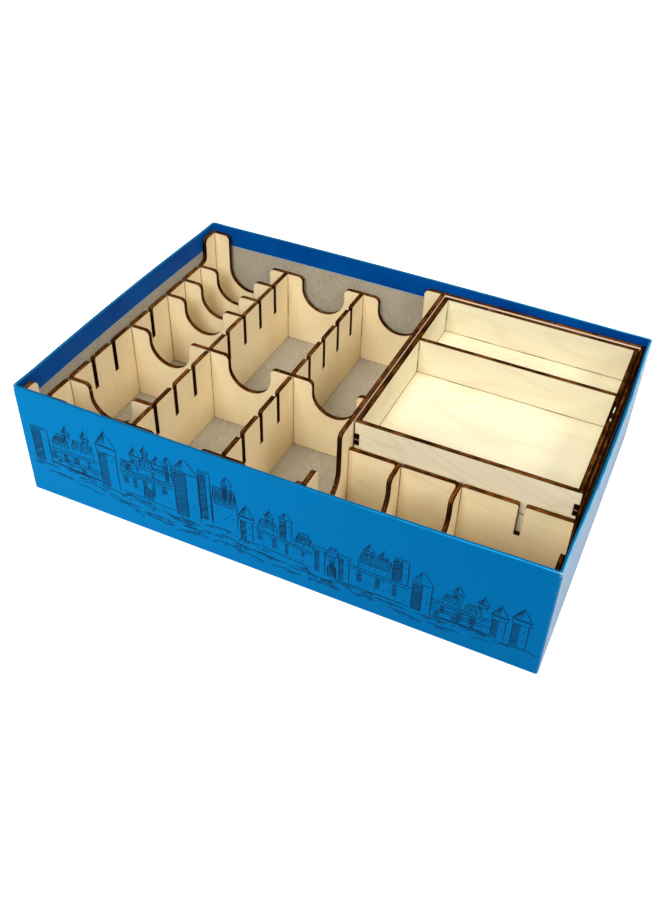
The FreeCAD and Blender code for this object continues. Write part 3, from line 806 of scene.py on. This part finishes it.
class Sketch:
    """Ink drawing as thin closed ribbons on the front. x and z are in mm from its lower left."""

    def __init__(self, seed):
        self.random = random.Random(seed)
        self.points = []
        self.faces = []
        wrap = frame["nodes"]["box_wrap"].data
        corners = [vertex.co for vertex in wrap.vertices]
        self.paper = BVHTree.FromPolygons(corners, [tuple(face.vertices) for face in wrap.polygons])
        self.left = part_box("box_corner_stays")[0].x / MM

    def on_paper(self, x, z, proud):
        """Point on the front of the box, a little in front of the paper."""
        start = Vector(((self.left + x) * MM, -1.0, z * MM))
        hit = self.paper.ray_cast(start, Vector((0.0, 1.0, 0.0)))[0]
        return (hit.x, hit.y - proud * MM, hit.z)

    def ribbon(self, line, width):
        """Closed ribbon along a line, thinner at both ends."""
        base = len(self.points)
        last = len(line) - 1
        for index, (x, z) in enumerate(line):
            before = line[max(index - 1, 0)]
            after = line[min(index + 1, last)]
            run = (after[0] - before[0], after[1] - before[1])
            length = max(math.hypot(*run), 1e-6)
            half = width / 2 * (PEN_TAPER if index in (0, last) else 1.0)
            side = (-run[1] / length * half, run[0] / length * half)
            for sign, proud in ((1, INK_PROUD), (-1, INK_PROUD), (-1, -INK_DEPTH), (1, -INK_DEPTH)):
                self.points.append(self.on_paper(x + sign * side[0], z + sign * side[1], proud))
        for index in range(last):
            here = base + 4 * index
            for corner in range(4):
                turn = (corner + 1) % 4
                self.faces.append((here + corner, here + turn, here + 4 + turn, here + 4 + corner))
        end = base + 4 * last
        self.faces.append((base + 3, base + 2, base + 1, base))
        self.faces.append((end, end + 1, end + 2, end + 3))

    def line(self, *corners, pen=PEN, wobble=0.14):
        """Hand-drawn line through its corners, each run broken once or twice."""
        path = [corners[0]]
        for start, stop in zip(corners, corners[1:]):
            length = math.dist(start, stop)
            steps = max(1, round(length / PEN_RUN))
            for step in range(1, steps + 1):
                share = step / steps
                drift = wobble if step < steps else wobble / 2
                x = start[0] + (stop[0] - start[0]) * share + self.random.uniform(-drift, drift)
                z = start[1] + (stop[1] - start[1]) * share + self.random.uniform(-drift, drift)
                path.append((x, z))
        self.ribbon(path, pen * self.random.uniform(0.85, 1.2))

    def hatch(self, low, high, step=0.75, lean=0.6, pen=FINE_PEN):
        """Slanting strokes that fill a rectangle."""
        x = low[0]
        while x < high[0]:
            top = high[1] - self.random.uniform(0.0, 0.7)
            bottom = low[1] + self.random.uniform(0.0, 0.9)
            shift = lean * self.random.uniform(0.7, 1.2)
            start = (min(x + shift, high[0]), top)
            self.line(start, (x, bottom), pen=pen * self.random.uniform(0.8, 1.3), wobble=0.08)
            x += step * self.random.uniform(0.8, 1.2)

    def shade(self, low, high, step=0.64):
        """Slanting strokes across a tall, narrow area, one above the other."""
        width = high[0] - low[0]
        rise = min(width * 0.9, 4.0)
        z = low[1] - rise
        while z < high[1]:
            start = max(z, low[1])
            stop = min(z + rise, high[1])
            if stop - start > 0.5:
                left = low[0] + width * (start - z) / rise
                right = low[0] + width * (stop - z) / rise
                pen = FINE_PEN * self.random.uniform(0.8, 1.3)
                self.line((left, start), (right, stop), pen=pen, wobble=0.06)
            z += step * self.random.uniform(0.75, 1.2)

    def merlons(self, left, right, tooth=1.1, rise=0.9):
        """Battlements between two points."""
        count = max(2, round((right[0] - left[0]) / tooth))
        path = []
        for index in range(count + 1):
            share = index / count
            x = left[0] + (right[0] - left[0]) * share
            z = left[1] + (right[1] - left[1]) * share
            low, high = z, z + rise
            path += [(x, low), (x, high)] if index % 2 == 0 else [(x, high), (x, low)]
        self.line(*path, pen=FINE_PEN * 1.1, wobble=0.08)

    def windows(self, low, high, columns, rows):
        """Small dark slits, in rows."""
        for column in range(columns):
            for row in range(rows):
                x = low[0] + (high[0] - low[0]) * (column + 0.5) / columns
                z = low[1] + (high[1] - low[1]) * (row + 0.5) / rows
                if self.random.random() < 0.85:
                    self.line((x, z + 0.55), (x, z - 0.55), pen=PEN * 1.5, wobble=0.03)

    def stones(self, low, high, count):
        """Short level dashes here and there."""
        for _ in range(count):
            x = self.random.uniform(low[0], high[0] - 1.2)
            z = self.random.uniform(low[1], high[1])
            self.line((x, z), (x + self.random.uniform(0.6, 1.4), z), pen=FINE_PEN, wobble=0.04)

    def wall(self, left, right, foot_left, foot_right, stones=8):
        """Curtain wall between (x, top) points, with battlements."""
        self.merlons(left, right)
        self.line((left[0], foot_left), (right[0], foot_right))
        depth = min(left[1] - foot_left, right[1] - foot_right)
        lowest = min(left[1], right[1])
        low = (left[0] + 1, lowest - depth * 0.85)
        self.stones(low, (right[0] - 1, lowest - 1), stones * 2)
        x = left[0] + self.random.uniform(1.0, 4.0)
        while x < right[0] - 3.5:
            top = left[1] + (right[1] - left[1]) * (x - left[0]) / (right[0] - left[0]) - 1.6
            bottom = top - depth * self.random.uniform(0.35, 0.75)
            self.shade((x, bottom), (x + self.random.uniform(1.6, 3.4), top))
            x += self.random.uniform(5.0, 9.0)
        self.line((left[0], left[1] - 1.3), (right[0], right[1] - 1.3), pen=FINE_PEN)

    def drum(self, x, width, foot, top, tip):
        """Round tower with a wider head, and a cone roof when its tip is above its top."""
        right = x + width
        head = top - width * 0.35
        self.line((x, foot), (x, head), (x - 0.6, head + 0.7), (x - 0.6, top))
        self.line((right, foot), (right, head), (right + 0.6, head + 0.7), (right + 0.6, top))
        self.line((x, head), (right, head), pen=FINE_PEN)
        self.merlons((x - 0.6, top), (right + 0.6, top), 1.0, 0.8)
        self.shade((x + 0.2, foot + 0.5), (x + width * 0.48, head))
        rows = max(1, round((head - foot) / 8))
        self.windows((x + width * 0.5, foot + 3), (right, head - 1), 1, rows)
        if tip > top:
            middle = x + width / 2
            self.line((x - 1.1, top + 0.6), (middle, tip), (right + 1.1, top + 0.6))
            self.line((x - 1.1, top + 0.6), (right + 1.1, top + 0.6), pen=FINE_PEN)
            for share in (0.08, 0.2, 0.32, 0.44):
                foot_x = x - 1.1 + (width + 2.2) * share
                self.line((middle, tip - 0.6), (foot_x, top + 0.8), pen=FINE_PEN, wobble=0.05)
            self.line((middle, tip), (middle, tip + 1.6), pen=FINE_PEN)

    def block(self, x, width, foot, top, tip, shade=0.5):
        """Square tower with battlements, or a pyramid roof when its tip is above its top."""
        right = x + width
        self.line((x, foot), (x, top))
        self.line((right, foot), (right, top))
        self.line((x + width * shade, foot + 1), (x + width * shade, top), pen=FINE_PEN)
        self.shade((x + 0.2, foot + 0.5), (x + width * shade, top - 0.6), step=0.58)
        self.windows((x + width * shade + 0.4, foot + 4), (right, top - 2), 1, 2)
        if tip > top:
            peak = ((x + width * 0.42, tip), (x + width * 0.58, tip))
            self.line((x - 0.8, top), *peak, (right + 0.8, top))
            self.line((x - 0.8, top), (right + 0.8, top))
            for share in (0.1, 0.25, 0.4):
                start = (x + width * 0.42, tip - 0.4)
                self.line(start, (x + width * share, top + 0.4), pen=FINE_PEN, wobble=0.05)
        else:
            self.merlons((x, top), (right, top), 1.2, 1.1)

    def house(self, x, width, foot, eaves, ridge):
        """House seen from its long side, its roof hatched."""
        right = x + width
        self.line((x, foot), (x, eaves))
        self.line((right, foot), (right, eaves))
        self.line((x - 0.5, eaves), (x + 1.4, ridge), (right - 1.0, ridge), (right + 0.5, eaves))
        self.line((x - 0.5, eaves), (right + 0.5, eaves))
        self.hatch((x + 0.6, eaves + 0.2), (right - 0.8, ridge - 0.2), step=0.66, lean=0.5)
        self.windows((x + 0.5, foot + 1), (right - 0.5, eaves - 0.5), max(1, int(width / 3)), 1)

    def arch(self, x, width, foot, top):
        """Dark gateway."""
        steps = 5
        crown = []
        for index in range(steps + 1):
            angle = math.pi * index / steps
            rise = (top - foot) * 0.4
            crown.append((x + width / 2 * (1 - math.cos(angle)), top - rise + rise * math.sin(angle)))
        self.line((x, foot), *crown, (x + width, foot), wobble=0.05)
        self.hatch((x + 0.3, foot), (x + width, top - 0.4), step=0.42, lean=0.2)

    def ground(self, *corners, tufts=10):
        """Rolling line of the ground with short strokes under it."""
        path = []
        for start, stop in zip(corners, corners[1:]):
            steps = max(2, round(math.dist(start, stop) / 2.2))
            for step in range(steps):
                share = step / steps
                swell = 0.45 * math.sin(share * math.pi * 3)
                x = start[0] + (stop[0] - start[0]) * share
                path.append((x, start[1] + (stop[1] - start[1]) * share + swell))
        path.append(corners[-1])
        for start in range(0, len(path) - 3, 9):
            self.line(*path[start:start + 8], wobble=0.25)
        for _ in range(tufts):
            x, z = self.random.choice(path)
            for index in range(self.random.randint(2, 5)):
                length = self.random.uniform(0.8, 2.2)
                start = (x + index * 0.7, z - 0.2)
                self.line(start, (start[0] - length * 0.6, z - 0.2 - length), pen=FINE_PEN)

    def scrub(self, x, z, size):
        """Bush drawn as a row of small loops."""
        path = []
        for index in range(9):
            angle = math.pi * index / 8
            reach = size * (1.0 if index % 2 else 0.72)
            path.append((x - math.cos(angle) * reach, z + math.sin(angle) * reach * 0.7))
        self.line(*path, pen=FINE_PEN, wobble=0.15)
        self.hatch((x - size * 0.5, z), (x + size * 0.6, z + size * 0.45), step=0.5, lean=0.5)

    def piece(self, name, material):
        """The whole drawing as one object that belongs to the box."""
        drawing = add_mesh(name, self.points, self.faces, material)
        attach(drawing, "box")


def upper_town(sketch):
    """High part of the town, on the left of the front."""
    sketch.block(6.0, 9.5, 21.5, 43.0, 0.0, shade=0.55)
    sketch.wall((15.5, 33.0), (44.0, 34.0), 23.5, 22.0)
    sketch.house(18.0, 9.0, 34.0, 37.0, 41.5)
    sketch.house(29.5, 12.5, 35.0, 38.0, 43.5)
    sketch.drum(25.6, 3.0, 41.5, 45.5, 50.0)
    sketch.drum(45.0, 10.0, 20.0, 46.0, 56.5)
    sketch.wall((56.5, 34.0), (86.0, 36.0), 22.0, 20.5, stones=12)
    sketch.wall((58.0, 42.0), (85.0, 43.0), 36.0, 38.0, stones=5)
    sketch.drum(64.0, 4.6, 42.5, 47.0, 53.0)
    sketch.drum(76.0, 5.2, 43.0, 46.5, 52.5)
    sketch.arch(69.0, 5.0, 22.0, 29.5)
    sketch.block(87.0, 13.0, 18.5, 48.0, 56.0, shade=0.5)
    sketch.block(100.5, 6.0, 22.0, 52.5, 0.0, shade=0.6)
    sketch.house(107.0, 13.0, 22.5, 36.0, 47.0)
    sketch.windows((108.0, 25.0), (119.0, 34.0), 3, 2)
    sketch.drum(121.5, 6.2, 17.5, 33.0, 41.0)
    sketch.wall((15.5, 28.0), (44.5, 27.5), 24.0, 22.5, stones=5)
    sketch.house(57.5, 6.0, 36.0, 38.5, 42.0)
    sketch.house(69.5, 6.0, 43.0, 45.0, 48.5)
    sketch.drum(70.8, 2.6, 48.0, 51.5, 56.0)
    sketch.block(82.5, 3.6, 38.0, 50.0, 54.0, shade=0.5)
    sketch.house(20.0, 7.0, 36.0, 39.5, 44.0)
    sketch.drum(36.5, 3.2, 43.0, 46.5, 51.5)
    sketch.block(113.0, 4.6, 40.0, 50.5, 54.5, shade=0.5)


def lower_town(sketch):
    """Low part of the town, which runs down to the right."""
    sketch.wall((129.0, 29.0), (158.0, 25.5), 18.5, 15.5)
    sketch.house(131.0, 9.5, 29.5, 32.0, 36.5)
    sketch.block(142.0, 6.0, 28.5, 41.0, 45.0, shade=0.5)
    sketch.house(149.5, 9.0, 27.0, 30.0, 34.0)
    sketch.drum(159.5, 5.0, 14.5, 31.0, 0.0)
    sketch.wall((165.0, 28.0), (171.0, 28.0), 14.5, 14.0, stones=1)
    sketch.arch(165.8, 4.4, 14.3, 22.5)
    sketch.drum(171.5, 5.0, 14.0, 31.0, 0.0)
    sketch.wall((177.5, 26.5), (206.0, 26.0), 14.0, 13.5, stones=10)
    sketch.house(181.0, 16.0, 27.0, 31.5, 38.0)
    sketch.block(197.5, 7.0, 27.0, 41.5, 0.0, shade=0.55)
    sketch.block(207.0, 9.0, 12.5, 31.0, 38.5, shade=0.5)
    sketch.wall((216.5, 23.5), (243.0, 23.0), 13.5, 14.0, stones=9)
    sketch.house(221.0, 8.0, 24.0, 26.5, 30.5)
    sketch.house(231.5, 7.0, 24.0, 26.0, 29.5)
    sketch.drum(244.0, 6.0, 13.5, 27.5, 35.0)
    sketch.drum(253.0, 7.0, 12.5, 30.0, 38.0)
    sketch.drum(135.0, 3.2, 35.0, 38.5, 43.5)
    sketch.house(150.5, 6.5, 29.0, 32.5, 36.5)
    sketch.drum(184.0, 3.4, 36.5, 39.5, 44.5)
    sketch.drum(191.0, 3.0, 36.5, 38.5, 43.0)
    sketch.house(166.0, 4.6, 28.5, 30.5, 34.0)
    sketch.block(225.5, 4.2, 29.0, 33.5, 37.5, shade=0.5)
    sketch.drum(237.5, 3.4, 28.0, 31.5, 36.0)
    sketch.wall((216.5, 19.0), (243.5, 18.5), 14.0, 14.5, stones=5)


BUSHES = (
    (33, 18.5, 2.2), (61, 19, 2.8), (93, 15, 3.2), (109, 13, 2.6), (134, 15, 2.4),
    (155, 13, 2.0), (187, 12, 2.2), (219, 11.5, 2.6), (240, 12, 2.0), (251, 10.5, 2.4),
)


def countryside(sketch):
    """Slopes, banks and bushes below the walls."""
    sketch.ground((4, 20), (30, 22), (58, 18), (86, 16), (112, 20), (130, 17), tufts=22)
    sketch.ground((12, 16), (40, 17.5), (70, 12), (98, 12.5), tufts=14)
    sketch.ground((30, 14), (52, 13), (80, 9), (100, 10), tufts=10)
    sketch.ground((58, 20.5), (74, 19), (92, 14), (106, 14), tufts=14)
    sketch.ground((110, 16), (132, 12.5), (152, 13), (168, 10), tufts=14)
    sketch.ground((88, 18), (104, 9.5), (128, 13.5), (150, 11), (176, 12), tufts=22)
    sketch.ground((118, 9), (150, 7.5), (190, 9.5), tufts=12)
    sketch.ground((170, 13.5), (205, 10.5), (236, 13), (264, 12), tufts=18)
    sketch.ground((196, 8), (222, 7.5), (244, 9.5), tufts=8)
    for x, z, size in BUSHES:
        sketch.scrub(x, z, size)


def skyline():
    """Made-up walled town, drawn in ink on the front of the box."""
    sketch = Sketch(seed=11)
    upper_town(sketch)
    lower_town(sketch)
    countryside(sketch)
    sketch.piece("skyline_drawing", ink())


skyline()


# ---------------------------------------------------------------- stage


def stage():
    """White table under a white sky."""
    white = Shader("table_white", roughness=0.9, specular=0.0)
    white.surface.inputs["Emission Color"].default_value = (*WHITE, 1.0)
    white.surface.inputs["Emission Strength"].default_value = TABLE_GLOW
    half = TABLE_SIZE / 2
    corners = [(-half, -half, 0), (half, -half, 0), (half, half, 0), (-half, half, 0)]
    table = add_mesh("table", corners, [(0, 1, 2, 3)], white.colour(TABLE_COLOUR))
    table.location.z = -TABLE_DROP
    world = bpy.data.worlds.new("white_sky")
    bpy.context.scene.world = world
    world.use_nodes = True
    sky = world.node_tree.nodes["Background"]
    sky.inputs["Color"].default_value = (*WHITE, 1.0)
    sky.inputs["Strength"].default_value = SKY_STRENGTH


def softbox(name, place, target, size, power, colour):
    """Square area light aimed at a point."""
    light = bpy.data.lights.new(name, "AREA")
    light.size = size
    light.energy = power
    light.color = colour
    lamp = bpy.data.objects.new(name, light)
    lamp.location = place
    lamp.rotation_euler = (Vector(target) - Vector(place)).to_track_quat("-Z", "Y").to_euler()
    bpy.context.scene.collection.objects.link(lamp)


def camera():
    """Camera of the product shot."""
    data = bpy.data.cameras.new("camera")
    data.sensor_width = CAMERA_SENSOR
    data.lens = CAMERA_LENS
    data.shift_x, data.shift_y = CAMERA_SHIFT
    view = bpy.data.objects.new("camera", data)
    view.location = CAMERA_PLACE
    view.rotation_euler = [math.radians(angle) for angle in CAMERA_TURN]
    bpy.context.scene.collection.objects.link(view)
    bpy.context.scene.camera = view


stage()
for light in LIGHTS:
    softbox(*light)
camera()
bpy.context.scene.view_settings.view_transform = "Standard"
